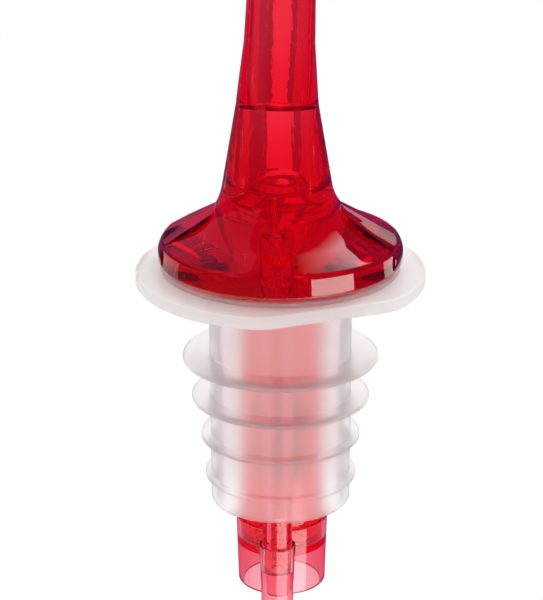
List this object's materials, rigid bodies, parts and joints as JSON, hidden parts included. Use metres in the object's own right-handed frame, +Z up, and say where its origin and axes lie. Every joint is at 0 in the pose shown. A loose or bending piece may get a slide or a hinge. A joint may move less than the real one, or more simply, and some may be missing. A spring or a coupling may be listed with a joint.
{
  "type": "liquor pourer",
  "caption": "Measured bottle pourer: leaning clear red spout, winged bell flange, loose frosted collar, finned frosted cork, ball-timed chamber tube with tail cap, and breather tube.",
  "frame": {"origin": "on the cork's axis at the underside of the collar, which rests on the bottle's lip", "axes": "+Z up the cork's axis towards the spout, +Y the way the spout leans, -Y the vent side"},
  "size_m": [0.0354, 0.0421, 0.119],
  "materials": {
    "red_clear": "polished clear red acrylic",
    "red_tube": "clear red tube",
    "red_cap": "clear red moulding",
    "frosted_cork": "frosted soft polyethylene",
    "frosted_collar": "frosted polyethylene",
    "steel": "polished"
  },
  "bodies": {
    "pourer": {"spout_body": "red_clear", "chamber_tube": "red_tube", "tail_cap": "red_cap", "cork_sleeve": "frosted_cork", "vent_tube": "red_tube", "breather_tube": "red_tube", "breather_stop": "red_cap"},
    "collar": {"collar": "frosted_collar"},
    "cutoff_ball": {"cutoff_ball": "steel"},
    "timing_ball": {"timing_ball": "steel"},
    "breather_ball": {"breather_ball": "steel"}
  },
  "joints": [
    {"name": "collar_turn", "type": "hinge", "parent": "pourer", "child": "collar", "pos_m": [0, 0, 0], "axis": [0, 0, 1], "continuous": true},
    {"name": "cutoff_ball_travel", "type": "slide", "parent": "pourer", "child": "cutoff_ball", "axis": [0, 0, 1], "range_m": [0, 0.02735]},
    {"name": "timing_ball_travel", "type": "slide", "parent": "pourer", "child": "timing_ball", "axis": [0, 0, 1], "range_m": [0, 0.02735]},
    {"name": "breather_ball_travel", "type": "slide", "parent": "pourer", "child": "breather_ball", "axis": [0, 0, 1], "range_m": [0, 0.0189]}
  ],
  "couplings": [
    {"joint": "timing_ball_travel", "follows": "cutoff_ball_travel", "ratio": 1}
  ]
}
